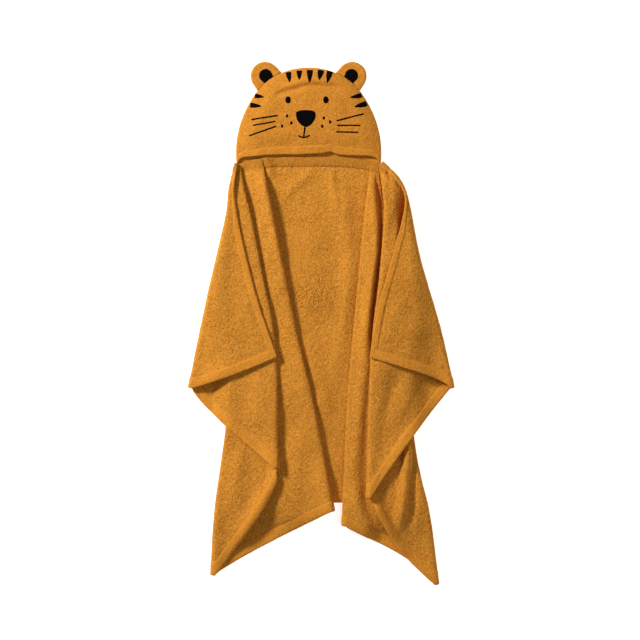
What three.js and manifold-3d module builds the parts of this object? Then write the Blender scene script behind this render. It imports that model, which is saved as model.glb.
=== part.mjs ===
// Hooded terry bath cape, laid on its back with each side folded forward like a fan.
//
// Millimetres, +Z up, +Y towards the top of the hood. Everything is worked out around the
// middle of the neck seam. The finished group is then moved so that its box stands on the
// origin. The body is one rectangle of towelling. From its middle (the back) each side is
// folded to and fro along lines that spread from the neck, so the layers lie on each other.

import * as THREE from 'three';
import { mergeVertices } from 'three/addons/utils/BufferGeometryUtils.js';
import Module from 'manifold-3d';

const wasm = await Module();
wasm.setup();

// Cloth
const CLOTH = 3;
const HEM = 5;
const HEM_WIDTH = 22;
const HEM_STEP = 4;
const SEAM_GAP = 0.3;
const LAYER_GAP = 1;
const PATCH = 1;
const PATCH_GAP = 0.5;

// Folds and drape
const FOLD_REACH = 5;
const FOLD_SHARE = 0.3;
const FOLD_STEPS = 4;
const LOFT_SPREAD = 22;
const LOFT_START = 0.25;
const NECK_REACH = 0.1;
const BODY_ROWS = 15;
const ROW_CROWDING = 1.2;
const MAP_STEP = 5;
const DRAPE_REACH = 30;
const TOUCH_REACH = 8;
const CELL_SAMPLES = 5;

// Hood, seen from above, around its own axis
const HOOD_AXIS = -4;
const HOOD_CORNER = { x: 146, y: -16 };
const HOOD_SHOULDER = { x: 117, y: 116 };
const HOOD_TOP = 181.5;
const HOOD_PUFF = 12;
const MOUTH_PUFF = 8;
const PUFF_REACH = 45;
const MOUTH_RISE = 5;
const HOOD_COLUMNS = 20;
const HOOD_ROWS = 10;
const HOOD_HEM = 18;
const NECK_STEPS = 44;

// Ears
const EAR = { x: 88.5, y: 164.5, radius: 28.5 };
const INNER_EAR = { x: 87, y: 165.5, radius: 13, tilt: 0.6, taper: 0.2, reach: 20 };

const TERRY = { color: 0xc98431, roughness: 1, metalness: 0 };
const TERRY_SHADE = { color: 0xb9752b, roughness: 1, metalness: 0 };
const BLACK = { color: 0x0d0a0a, roughness: 0.7, metalness: 0 };

// The lines along which the body is folded, from the left free edge to the right one.
// side: the way a fold points, -1 left, 1 right, 0 a free edge. loft: how far the fold
// lifts the layer above it. points: where the line runs, from the neck over the shoulder,
// chest, waist and knee to the hem.
const LINES = [
  { side: 0, loft: 0,
    points: [[-146, -27], [-153, -66], [-146, -115], [-127, -210], [-104, -299], [-67, -405]] },
  { side: -1, loft: 6,
    points: [[-150, -23], [-164, -64], [-169, -115], [-191, -210], [-212, -300], [-247, -467]] },
  { side: 1, loft: 3,
    points: [[-138, -24], [-128, -66], [-116, -119], [-96, -238], [-72, -380], [-65, -629]] },
  { side: -1, loft: 3,
    points: [[-147, -21], [-151, -66], [-153, -115], [-167, -500], [-194, -720], [-201, -847]] },
  { side: 1, loft: 4,
    points: [[-98, -3], [-91, -45], [-76, -117], [-31, -350], [-3, -490], [44, -716]] },
  { side: -1, loft: 1,
    points: [[-140, -13], [-143, -66], [-144, -120], [-145, -350], [-145, -500], [-143, -700]] },
  { side: 1, loft: 1,
    points: [[134, -12], [142, -66], [150, -120], [170, -356], [185, -520], [199, -700]] },
  { side: -1, loft: 4,
    points: [[122, -9], [116, -67], [110, -117], [88, -350], [75, -502], [64, -747]] },
  { side: 1, loft: 3,
    points: [[144, -20], [153, -66], [160, -120], [208, -565], [241, -725], [259, -866]] },
  { side: -1, loft: 3,
    points: [[136, -24], [144, -66], [143, -119], [135, -250], [126, -450], [113, -688]] },
  { side: 1, loft: 9,
    points: [[150, -12], [181, -47], [198, -98], [222, -208], [264, -352], [290, -467]] },
  { side: 0, loft: 0,
    points: [[141, -34], [170, -60], [186, -106], [162, -200], [137, -303], [119, -405]] },
];

// The stretches of cloth between neighbouring lines. layer: 0 lies on the floor, 5 on top.
// neckBow and hemBow: how far the upper and the lower edge bulge out of a straight line.
// hemPeak: where along the hem, as a share of its length, that bulge is greatest.
const PANELS = [
  { layer: 5, columns: 6, neckBow: 0, hemBow: -3, hemPeak: 0.5 },
  { layer: 4, columns: 5, neckBow: 0, hemBow: 8, hemPeak: 0.3 },
  { layer: 3, columns: 5, neckBow: 0, hemBow: -20, hemPeak: 0.25 },
  { layer: 2, columns: 6, neckBow: 4, hemBow: -5, hemPeak: 0.3 },
  { layer: 1, columns: 3, neckBow: 0, hemBow: 0, hemPeak: 0.5 },
  { layer: 0, columns: 6, neckBow: 0, hemBow: 0, hemPeak: 0.5 },
  { layer: 1, columns: 3, neckBow: 0, hemBow: 0, hemPeak: 0.5 },
  { layer: 2, columns: 6, neckBow: 0, hemBow: -13, hemPeak: 0.62 },
  { layer: 3, columns: 5, neckBow: 0, hemBow: -15, hemPeak: 0.5 },
  { layer: 4, columns: 5, neckBow: 0, hemBow: -4, hemPeak: 0.5 },
  { layer: 5, columns: 6, neckBow: 0, hemBow: 8, hemPeak: 0.25 },
];

// Small helpers

const lerp = THREE.MathUtils.lerp;
const smooth = (x) => THREE.MathUtils.smoothstep(x, 0, 1);
const bow = (u, peak = 0.5) => Math.sin(Math.PI * u ** (Math.log(0.5) / Math.log(peak)));

function mix(a, b, f) {
  return { x: lerp(a.x, b.x, f), y: lerp(a.y, b.y, f) };
}

function distance(a, b) {
  return Math.hypot(a.x - b.x, a.y - b.y);
}

function meshFrom(positions, triangles) {
  const geometry = new THREE.BufferGeometry();
  geometry.setAttribute('position', new THREE.Float32BufferAttribute(positions.flat(), 3));
  geometry.setIndex(triangles.flat());
  geometry.computeVertexNormals();
  return geometry;
}

// A closed wall between two grids of points with the same rows and columns. Seen from the
// front grid's side, columns run to the right and rows run down.
function wallBetween(front, back) {
  const rows = front.length;
  const columns = front[0].length;
  const at = (side, i, j) => side * rows * columns + i * columns + j;
  const triangles = [];
  const quad = (a, b, c, d) => triangles.push([a, b, c], [a, c, d]);
  for (let i = 0; i < rows - 1; i += 1) {
    for (let j = 0; j < columns - 1; j += 1) {
      quad(at(0, i, j), at(0, i + 1, j), at(0, i + 1, j + 1), at(0, i, j + 1));
      quad(at(1, i, j), at(1, i, j + 1), at(1, i + 1, j + 1), at(1, i + 1, j));
    }
    quad(at(0, i, 0), at(1, i, 0), at(1, i + 1, 0), at(0, i + 1, 0));
    const last = columns - 1;
    quad(at(0, i, last), at(0, i + 1, last), at(1, i + 1, last), at(1, i, last));
  }
  for (let j = 0; j < columns - 1; j += 1) {
    quad(at(0, 0, j), at(0, 0, j + 1), at(1, 0, j + 1), at(1, 0, j));
    const last = rows - 1;
    quad(at(0, last, j), at(1, last, j), at(1, last, j + 1), at(0, last, j + 1));
  }
  return meshFrom([...front.flat(), ...back.flat()], triangles);
}

// Heights of what already lies on the floor, on a square grid

class HeightMap {
  constructor(low, high) {
    this.low = low;
    this.high = high;
    this.wide = Math.ceil((high.x - low.x) / MAP_STEP) + 1;
    this.tall = Math.ceil((high.y - low.y) / MAP_STEP) + 1;
    this.cells = new Float64Array(this.wide * this.tall);
  }

  index(i, j) {
    const column = THREE.MathUtils.clamp(i, 0, this.wide - 1);
    const row = THREE.MathUtils.clamp(j, 0, this.tall - 1);
    return row * this.wide + column;
  }

  raise(x, y, height) {
    const column = Math.round((x - this.low.x) / MAP_STEP);
    const row = Math.round((y - this.low.y) / MAP_STEP);
    const k = this.index(column, row);
    this.cells[k] = Math.max(this.cells[k], height);
  }

  at(x, y) {
    const fx = (x - this.low.x) / MAP_STEP;
    const fy = (y - this.low.y) / MAP_STEP;
    const i = Math.floor(fx);
    const j = Math.floor(fy);
    const lower = lerp(this.cells[this.index(i, j)], this.cells[this.index(i + 1, j)], fx - i);
    const upper = lerp(this.cells[this.index(i, j + 1)], this.cells[this.index(i + 1, j + 1)], fx - i);
    return lerp(lower, upper, fy - j);
  }

  // Each cell takes a value worked out from the cells within reach of it.
  filtered(reach, start, step, finish) {
    const n = Math.round(reach / MAP_STEP);
    const result = new HeightMap(this.low, this.high);
    for (let j = 0; j < this.tall; j += 1) {
      for (let i = 0; i < this.wide; i += 1) {
        let value = start;
        let count = 0;
        for (let b = -n; b <= n; b += 1) {
          for (let a = -n; a <= n; a += 1) {
            if (a * a + b * b <= n * n + 1) {
              value = step(value, this.cells[this.index(i + a, j + b)]);
              count += 1;
            }
          }
        }
        result.cells[this.index(i, j)] = finish(value, count);
      }
    }
    return result;
  }

  spread(reach) {
    return this.filtered(reach, 0, Math.max, (value) => value);
  }

  blurred(reach) {
    return this.filtered(reach, 0, (sum, value) => sum + value, (sum, count) => sum / count);
  }
}

// Body: lines, panels and their heights

function foldLine(entry) {
  const curve = new THREE.SplineCurve(entry.points.map(([x, y]) => new THREE.Vector2(x, y)));
  return { ...entry, curve, length: curve.getLength(), foot: curve.getPointAt(1) };
}

// How much further than its own width a hem reaches along a line that meets it askew
function hemReach(line, neighbours) {
  const along = line.curve.getTangentAt(1);
  const skews = neighbours.map((other) => {
    const across = new THREE.Vector2().subVectors(other.foot, line.foot).normalize();
    return Math.abs(along.cross(across));
  });
  const mean = skews.reduce((sum, skew) => sum + skew, 0) / skews.length;
  return 1 / Math.max(mean, 0.6);
}

function rowStations(line, neighbours) {
  const reach = hemReach(line, neighbours) / line.length;
  const hemTop = 1 - (HEM_WIDTH + HEM_STEP) * reach;
  const stations = [];
  for (let i = 0; i <= BODY_ROWS; i += 1) {
    stations.push(hemTop * (i / BODY_ROWS) ** ROW_CROWDING);
  }
  stations.push(1 - HEM_WIDTH * reach, 1);
  return stations;
}

// The line's points and outward directions at every row
function traceLine(line, neighbours) {
  return rowStations(line, neighbours).map((v) => {
    const point = line.curve.getPointAt(v);
    const along = line.curve.getTangentAt(v);
    return { x: point.x, y: point.y, v, out: { x: -along.y * line.side, y: along.x * line.side } };
  });
}

// How far the flat part of a panel stays back from each fold, row by row
function setBacks(traces) {
  return traces.map((trace, k) => trace.map((point, i) => {
    if (LINES[k].side === 0) {
      return 0;
    }
    const room = Math.min(distance(point, traces[k - 1][i]), distance(point, traces[k + 1][i]));
    return Math.min(FOLD_REACH, FOLD_SHARE * room);
  }));
}

function columnShares(panel, width, hemmed) {
  const shares = [];
  if (!hemmed) {
    for (let j = 0; j <= panel.columns; j += 1) {
      shares.push(j / panel.columns);
    }
    return shares;
  }
  const inner = Math.min(HEM_WIDTH / width, 0.45);
  const outer = Math.min((HEM_WIDTH + HEM_STEP) / width, 0.6);
  shares.push(0, inner);
  for (let j = 0; j <= panel.columns - 2; j += 1) {
    shares.push(lerp(outer, 1, j / (panel.columns - 2)));
  }
  return shares;
}

// Where the upper edge of a panel lies over a point on the straight line between its ends
function panelTop(panel, point, u) {
  return panel.layer === 0 ? neckHeight(point.x - HOOD_AXIS) : point.y + panel.neckBow * bow(u);
}

// The panel's points on the floor, with the wall's thickness and the loft of its entry fold
function panelPlan(k, traces, backs) {
  const panel = PANELS[k];
  const first = k === 0;
  const last = k === PANELS.length - 1;
  const entry = PANELS[k + 1]?.layer < panel.layer ? k + 1 : k;
  return traces[k].map((a, i) => {
    const b = traces[k + 1][i];
    const start = { x: a.x - a.out.x * backs[k][i], y: a.y - a.out.y * backs[k][i] };
    const end = { x: b.x - b.out.x * backs[k + 1][i], y: b.y - b.out.y * backs[k + 1][i] };
    const width = distance(start, end);
    const shares = columnShares(panel, width, first || last);
    const across = last ? shares.map((share) => 1 - share).reverse() : shares;
    const hemRow = i > BODY_ROWS;
    return across.map((u, j) => {
      const point = mix(start, end, u);
      const v = lerp(a.v, b.v, u);
      point.y = lerp(point.y, panelTop(panel, point, u), smooth(1 - v / NECK_REACH));
      const bulge = panel.hemBow * bow(u, panel.hemPeak) * smooth((v - 0.6) / 0.4);
      point.x += (bulge * (end.y - start.y)) / width;
      point.y -= (bulge * (end.x - start.x)) / width;
      const edgeColumn = (first && j < 2) || (last && j > across.length - 3);
      const wall = hemRow || edgeColumn ? HEM : CLOTH;
      const fromEntry = (entry === k ? u : 1 - u) * width;
      const height = panel.layer > 0 ? LINES[entry].loft * smooth(v / LOFT_START) : 0;
      return { ...point, wall, loft: height * Math.exp(-((fromEntry / LOFT_SPREAD) ** 2)) };
    });
  });
}

// Calls back with points spread over the two facets of each cell: the cell's corners, and
// the point's share of each
function eachSample(grid, visit) {
  for (let i = 0; i < grid.length - 1; i += 1) {
    for (let j = 0; j < grid[0].length - 1; j += 1) {
      const corners = [grid[i][j], grid[i][j + 1], grid[i + 1][j + 1], grid[i + 1][j]];
      for (let a = 0; a <= CELL_SAMPLES; a += 1) {
        for (let b = 0; b <= CELL_SAMPLES; b += 1) {
          const s = a / CELL_SAMPLES;
          const r = b / CELL_SAMPLES;
          const shares = [1 - Math.max(s, r), Math.max(r - s, 0), Math.min(s, r), Math.max(s - r, 0)];
          visit(corners, shares);
        }
      }
    }
  }
}

const blend = (corners, shares, key) => corners.reduce((sum, c, n) => sum + c[key] * shares[n], 0);

// Sets the panel down on what lies there already: first draped softly, then lifted clear
function layDown(grid, map) {
  const resting = (height) => (height > LAYER_GAP ? height + LAYER_GAP : 0);
  const soft = map.spread(DRAPE_REACH).blurred(DRAPE_REACH / 2);
  const touch = map.spread(TOUCH_REACH);
  grid.flat().forEach((p) => {
    p.z = resting(soft.at(p.x, p.y)) + p.loft + p.wall / 2;
    p.lift = 0;
  });
  eachSample(grid, (corners, shares) => {
    const needed = resting(touch.at(blend(corners, shares, 'x'), blend(corners, shares, 'y')));
    const short = needed - (blend(corners, shares, 'z') - blend(corners, shares, 'wall') / 2);
    corners.forEach((corner) => {
      corner.lift = Math.max(corner.lift, short);
    });
  });
  grid.flat().forEach((p) => {
    p.z += p.lift;
  });
  eachSample(grid, (corners, shares) => {
    const top = blend(corners, shares, 'z') + blend(corners, shares, 'wall') / 2;
    map.raise(blend(corners, shares, 'x'), blend(corners, shares, 'y'), top);
  });
}

// The half-turn of cloth at a fold, between the last points of two panels
function foldTurn(a, b, trace, back, up) {
  const turn = [];
  for (let n = 1; n < FOLD_STEPS; n += 1) {
    const angle = (Math.PI * n) / FOLD_STEPS;
    const share = (1 - Math.cos(angle)) / 2;
    const rise = Math.abs(b.z - a.z) / 2;
    const facing = Math.sign(b.z - a.z);
    const across = Math.sin(angle) / back;
    const upward = Math.cos(angle) / rise;
    const size = Math.hypot(across, upward);
    const inward = (-across / size) * facing * up;
    turn.push({
      x: lerp(a.x, b.x, share) + trace.out.x * back * Math.sin(angle),
      y: lerp(a.y, b.y, share) + trace.out.y * back * Math.sin(angle),
      z: lerp(a.z, b.z, share),
      wall: lerp(a.wall, b.wall, share),
      normal: [trace.out.x * inward, trace.out.y * inward, (upward / size) * up],
    });
  }
  return turn;
}

function bodyGeometry() {
  const lines = LINES.map(foldLine);
  const traces = lines.map((line, k) => {
    return traceLine(line, [lines[k - 1], lines[k + 1]].filter(Boolean));
  });
  const backs = setBacks(traces);
  const grids = PANELS.map((panel, k) => panelPlan(k, traces, backs));
  const map = new HeightMap({ x: -300, y: -920 }, { x: 340, y: 60 });
  const order = PANELS.map((panel, k) => k).sort((a, b) => PANELS[a].layer - PANELS[b].layer);
  order.forEach((k) => layDown(grids[k], map));
  const rows = traces[0].map((unused, i) => grids.flatMap((grid, k) => {
    const up = PANELS[k].layer % 2 === 0 ? 1 : -1;
    const flat = grid[i].map((p) => ({ ...p, normal: [0, 0, up] }));
    if (k === PANELS.length - 1) {
      return flat;
    }
    const next = grids[k + 1][i][0];
    return [...flat, ...foldTurn(flat.at(-1), next, traces[k + 1][i], backs[k + 1][i], up)];
  }));
  const besideHood = (p) => Math.abs(p.x - HOOD_AXIS) > HOOD_CORNER.x + p.wall / 2 + SEAM_GAP;
  rows[0].filter((p) => !besideHood(p)).forEach((p) => {
    p.y = Math.min(p.y, neckHeight(Math.abs(p.x - HOOD_AXIS) + p.wall / 2));
  });
  const shifted = (way) => rows.map((row) => row.map((p) => {
    const offset = (way * p.wall) / 2;
    return [p.x + p.normal[0] * offset, p.y + p.normal[1] * offset, p.z + p.normal[2] * offset];
  }));
  return wallBetween(shifted(1), shifted(-1));
}

// Hood: two D-shaped layers joined around the side and top, open along the neck

function neckHeight(x) {
  return 1 - 16 * (Math.abs(x) / HOOD_CORNER.x) ** 4;
}

function mouthHeight(x) {
  const s = Math.abs(x) / HOOD_CORNER.x;
  return MOUTH_RISE + (HOOD_CORNER.y - MOUTH_RISE) * (0.22 * s ** 2 + 0.78 * s ** 26);
}

// The right half of the hood's outline, from its lower corner up to the middle of its top
const HOOD_SIDE = new THREE.CubicBezierCurve(
  new THREE.Vector2(HOOD_CORNER.x, HOOD_CORNER.y),
  new THREE.Vector2(152, 34),
  new THREE.Vector2(140, 78),
  new THREE.Vector2(HOOD_SHOULDER.x, HOOD_SHOULDER.y),
);
const HOOD_CROWN = new THREE.CubicBezierCurve(
  new THREE.Vector2(HOOD_SHOULDER.x, HOOD_SHOULDER.y),
  new THREE.Vector2(95, 154),
  new THREE.Vector2(56, HOOD_TOP),
  new THREE.Vector2(0, HOOD_TOP),
);

const mirrored = (point, sign) => ({ x: point.x * sign, y: point.y });

function crownPoint(u) {
  const sign = u < 0.5 ? -1 : 1;
  return mirrored(HOOD_CROWN.getPointAt(1 - Math.abs(2 * u - 1)), sign);
}

function mouthPoint(u) {
  const x = lerp(-HOOD_CORNER.x, HOOD_CORNER.x, u);
  return { x, y: mouthHeight(x) };
}

// The outline without the mouth, from the right corner over the top to the left corner,
// moved outwards by gap
function hoodRim(gap) {
  const side = HOOD_SIDE.getSpacedPoints(HOOD_ROWS);
  const crown = HOOD_CROWN.getSpacedPoints(HOOD_ROWS + 1);
  const half = [...side, ...crown.slice(1)];
  const rim = [...half, ...half.slice(0, -1).reverse().map((p) => mirrored(p, -1))];
  return rim.map((p, n) => {
    const before = rim[Math.max(n - 1, 0)];
    const after = rim[Math.min(n + 1, rim.length - 1)];
    const reach = gap / distance(before, after);
    return { x: p.x + reach * (after.y - before.y), y: p.y - reach * (after.x - before.x) };
  });
}

function distanceToRim(point, rim) {
  let nearest = Infinity;
  for (let n = 0; n < rim.length - 1; n += 1) {
    const [a, b] = [rim[n], rim[n + 1]];
    const along = (point.x - a.x) * (b.x - a.x) + (point.y - a.y) * (b.y - a.y);
    const share = THREE.MathUtils.clamp(along / distance(a, b) ** 2, 0, 1);
    nearest = Math.min(nearest, distance(point, mix(a, b, share)));
  }
  return nearest;
}

const RIM = hoodRim(0);

// Underside of the hood's front layer: lowest at the seam, domed inside, lower at the mouth
function hoodUnderside(point) {
  const inset = Math.min(1, distanceToRim(point, RIM) / PUFF_REACH);
  const puff = lerp(MOUTH_PUFF, HOOD_PUFF, smooth((point.y - mouthHeight(point.x)) / PUFF_REACH));
  return CLOTH + SEAM_GAP + puff * (1 - (1 - inset) ** 2);
}

// A patch stretched between the mouth, the two sides and the crown
function hoodPoint(u, v) {
  const left = mirrored(HOOD_SIDE.getPointAt(v), -1);
  const right = HOOD_SIDE.getPointAt(v);
  const low = mouthPoint(u);
  const high = crownPoint(u);
  const sides = mix(left, right, u);
  const ends = mix(low, high, v);
  const corners = mix(mix(mouthPoint(0), mouthPoint(1), u), mix(crownPoint(0), crownPoint(1), u), v);
  return { x: sides.x + ends.x - corners.x, y: sides.y + ends.y - corners.y };
}

function hoodGrid() {
  const stations = [0, HOOD_HEM / HOOD_TOP, (HOOD_HEM + HEM_STEP) / HOOD_TOP];
  const start = stations[2];
  for (let i = 1; i <= HOOD_ROWS; i += 1) {
    stations.push(lerp(start, 1, i / HOOD_ROWS));
  }
  return stations.reverse().map((v, i) => {
    const row = [];
    for (let j = 0; j <= HOOD_COLUMNS; j += 1) {
      const point = hoodPoint(j / HOOD_COLUMNS, v);
      const low = hoodUnderside(point);
      row.push({ ...point, low, high: low + (i > HOOD_ROWS ? HEM : CLOTH) });
    }
    return row;
  });
}

const HOOD_GRID = hoodGrid();

function hoodFrontGeometry() {
  const surface = (key) => HOOD_GRID.map((row) => row.map((p) => [p.x, p.y, p[key]]));
  return wallBetween(surface('high'), surface('low'));
}

// Top of the faceted front layer over a point
function hoodTop(point) {
  for (let i = 0; i < HOOD_GRID.length - 1; i += 1) {
    for (let j = 0; j < HOOD_COLUMNS; j += 1) {
      const [a, d] = HOOD_GRID[i].slice(j, j + 2);
      const [b, c] = HOOD_GRID[i + 1].slice(j, j + 2);
      const height = facetHeight(point, a, b, c) ?? facetHeight(point, a, c, d);
      if (height !== null) {
        return height;
      }
    }
  }
  return CLOTH + SEAM_GAP + CLOTH;
}

function facetHeight(point, a, b, c) {
  const area = (b.x - a.x) * (c.y - a.y) - (c.x - a.x) * (b.y - a.y);
  const s = ((point.x - a.x) * (c.y - a.y) - (c.x - a.x) * (point.y - a.y)) / area;
  const r = ((b.x - a.x) * (point.y - a.y) - (point.x - a.x) * (b.y - a.y)) / area;
  const inside = s >= -1e-6 && r >= -1e-6 && s + r <= 1 + 1e-6;
  return inside ? a.high + s * (b.high - a.high) + r * (c.high - a.high) : null;
}

function plate(outline, low, high) {
  const shape = new THREE.Shape(outline.map((p) => new THREE.Vector2(p.x, p.y)));
  const geometry = new THREE.ExtrudeGeometry(shape, { depth: high - low, bevelEnabled: false });
  return geometry.translate(0, 0, low);
}

function hoodBackGeometry() {
  const neck = [];
  for (let j = 0; j <= NECK_STEPS; j += 1) {
    const x = lerp(-HOOD_CORNER.x + 1, HOOD_CORNER.x - 1, j / NECK_STEPS);
    neck.push({ x, y: neckHeight(x) + SEAM_GAP });
  }
  return plate([...neck, ...RIM.slice(1, -1)], 0, CLOTH);
}

// Ears: cut round, and ending where they enter the hood's seam

function solid(geometry) {
  const bare = geometry.clone();
  bare.deleteAttribute('normal');
  bare.deleteAttribute('uv');
  const merged = mergeVertices(bare, 1e-4);
  return new wasm.Manifold(new wasm.Mesh({
    numProp: 3,
    vertProperties: new Float32Array(merged.attributes.position.array),
    triVerts: new Uint32Array(merged.index.array),
  }));
}

function withoutHood(geometry) {
  const hood = plate(hoodRim(SEAM_GAP), -CLOTH, 4 * CLOTH);
  const { vertProperties, triVerts } = solid(geometry).subtract(solid(hood)).getMesh();
  const cut = new THREE.BufferGeometry();
  cut.setAttribute('position', new THREE.BufferAttribute(vertProperties, 3));
  cut.setIndex(new THREE.BufferAttribute(triVerts, 1));
  cut.computeVertexNormals();
  return cut;
}

function ring(count, place) {
  return Array.from({ length: count }, (unused, n) => place((2 * Math.PI * n) / count));
}

function earGeometry(sign, low) {
  const outline = ring(40, (angle) => ({
    x: sign * EAR.x + EAR.radius * Math.cos(angle),
    y: EAR.y + EAR.radius * Math.sin(angle),
  }));
  return withoutHood(plate(outline, low, low + CLOTH));
}

// Round away from the hood, with nearly straight sides that run into the hood's seam
function innerEarGeometry(sign) {
  const [tiltX, tiltY] = [Math.cos(INNER_EAR.tilt), Math.sin(INNER_EAR.tilt)];
  const outline = ring(28, (angle) => {
    const [across, rise] = [Math.cos(angle), Math.sin(angle)];
    const sides = INNER_EAR.radius / (Math.abs(across) + INNER_EAR.taper * Math.abs(rise));
    const radius = rise < 0 ? Math.min(sides, INNER_EAR.reach) : INNER_EAR.radius;
    return {
      x: sign * (INNER_EAR.x + radius * (across * tiltX + rise * tiltY)),
      y: INNER_EAR.y + radius * (rise * tiltX - across * tiltY),
    };
  });
  const low = 2 * (CLOTH + SEAM_GAP);
  return withoutHood(plate(sign > 0 ? outline : outline.reverse(), low, low + PATCH));
}

// Patches on the hood: a ring of points around a centre, laid on the front layer

function patchGeometry(outline) {
  const mean = (key) => outline.reduce((sum, p) => sum + p[key], 0) / outline.length;
  const centre = { x: mean('x'), y: mean('y') };
  const points = [centre, ...outline];
  const count = outline.length;
  const above = points.length;
  const level = (rise) => points.map((p) => [p.x, p.y, hoodTop(p) + rise]);
  const positions = [...level(PATCH_GAP), ...level(PATCH_GAP + PATCH)];
  const triangles = [];
  outline.forEach((unused, n) => {
    const m = (n + 1) % count;
    const [a, b] = [1 + n, 1 + m];
    triangles.push([0, b, a], [above, a + above, b + above], [a, b, b + above], [a, b + above, a + above]);
  });
  return meshFrom(positions, triangles);
}

function eyeOutline(sign) {
  return ring(20, (angle) => ({
    x: EYE.middle + sign * EYE.spread + EYE.halfWidth * Math.cos(angle),
    y: EYE.y + EYE.halfHeight * Math.sin(angle),
  }));
}

// A rounded triangle standing on its point
function noseOutline() {
  const half = [...NOSE_SIDE.getPoints(8), ...NOSE_TOP.getPoints(5).slice(1)];
  const left = half.slice(1, -1).reverse().map((p) => mirrored(p, -1));
  return [...half, ...left].map((p) => ({ x: p.x + NOSE.x, y: p.y + NOSE.y }));
}

// A stripe from its broad, rounded end to its point
function stripeOutline(stripe) {
  const steps = 7;
  const base = new THREE.Vector2(...stripe.base);
  const tip = new THREE.Vector2(...stripe.tip);
  const along = new THREE.Vector2().subVectors(tip, base);
  const across = new THREE.Vector2(-along.y, along.x).normalize();
  const edge = (sign) => Array.from({ length: steps }, (unused, n) => {
    const f = n / steps;
    const half = (stripe.width / 2) * Math.min(1, 0.85 + 2 * f) * (1 - f ** 2) ** 0.8;
    return base.clone().addScaledVector(along, f).addScaledVector(across, sign * half);
  });
  return [...edge(-1), tip, ...edge(1).reverse()];
}

// Where the features lie, around the hood's axis. The face sits a little left of the axis.
const EYE = { middle: -3.3, spread: 38.3, y: 115.7, halfWidth: 5.1, halfHeight: 6.9 };
const NOSE = { x: -5.5, y: 78 };
const NOSE_SIDE = new THREE.CubicBezierCurve(
  new THREE.Vector2(0, -17.5),
  new THREE.Vector2(9, -16.5),
  new THREE.Vector2(20.5, -4),
  new THREE.Vector2(20, 9),
);
const NOSE_TOP = new THREE.CubicBezierCurve(
  new THREE.Vector2(20, 9),
  new THREE.Vector2(20.5, 15),
  new THREE.Vector2(12, 17.5),
  new THREE.Vector2(0, 17),
);
const STRIPES = [
  { name: 'brow_stripe_1', width: 10.5, base: [-41, 172], tip: [-38, 152.5] },
  { name: 'brow_stripe_2', width: 10.5, base: [-19, 175], tip: [-18.5, 157.5] },
  { name: 'brow_stripe_3', width: 11, base: [2.7, 176.5], tip: [2, 152.5] },
  { name: 'brow_stripe_4', width: 11, base: [25.5, 175.5], tip: [21.5, 158] },
  { name: 'brow_stripe_5', width: 10.5, base: [43.5, 172.5], tip: [38.5, 152] },
  { name: 'cheek_stripe_left_1', width: 8, base: [-108, 124.5], tip: [-91, 122] },
  { name: 'cheek_stripe_left_2', width: 9.5, base: [-117, 105.5], tip: [-97, 103] },
  { name: 'cheek_stripe_right_1', width: 8, base: [107, 125.5], tip: [85, 120.5] },
  { name: 'cheek_stripe_right_2', width: 9.5, base: [116.5, 108], tip: [94, 101.5] },
];

// Assembly

function piece(name, geometry, finish) {
  const mesh = new THREE.Mesh(geometry, new THREE.MeshStandardMaterial(finish));
  mesh.name = name;
  return mesh;
}

function hood() {
  const group = new THREE.Group();
  group.position.x = HOOD_AXIS;
  group.add(piece('hood_back', hoodBackGeometry(), TERRY_SHADE));
  group.add(piece('hood_front', hoodFrontGeometry(), TERRY));
  [['left', -1], ['right', 1]].forEach(([side, sign]) => {
    group.add(piece(`ear_${side}_back`, earGeometry(sign, 0), TERRY_SHADE));
    group.add(piece(`ear_${side}_front`, earGeometry(sign, CLOTH + SEAM_GAP), TERRY));
    group.add(piece(`inner_ear_${side}`, innerEarGeometry(sign), BLACK));
    group.add(piece(`eye_${side}`, patchGeometry(eyeOutline(sign)), BLACK));
  });
  group.add(piece('nose', patchGeometry(noseOutline()), BLACK));
  STRIPES.forEach((stripe) => {
    group.add(piece(stripe.name, patchGeometry(stripeOutline(stripe)), BLACK));
  });
  return group;
}

function cape() {
  const group = new THREE.Group();
  group.add(piece('body_panel', bodyGeometry(), TERRY));
  group.add(hood());
  group.updateMatrixWorld(true);
  const box = new THREE.Box3().setFromObject(group, true);
  const middle = box.getCenter(new THREE.Vector3());
  group.position.set(-middle.x, -middle.y, -box.min.z);
  return group;
}

export default cape();
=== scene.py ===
"""Looks of a hooded terry bath cape that lies on its back, its sides folded forward.

The tables are in millimetres around the middle of the neck seam, +X right and +Y towards
the top of the hood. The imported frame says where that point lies. The body is one rectangle
of towelling, folded to and fro along lines that spread from the neck.
"""

import math

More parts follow.
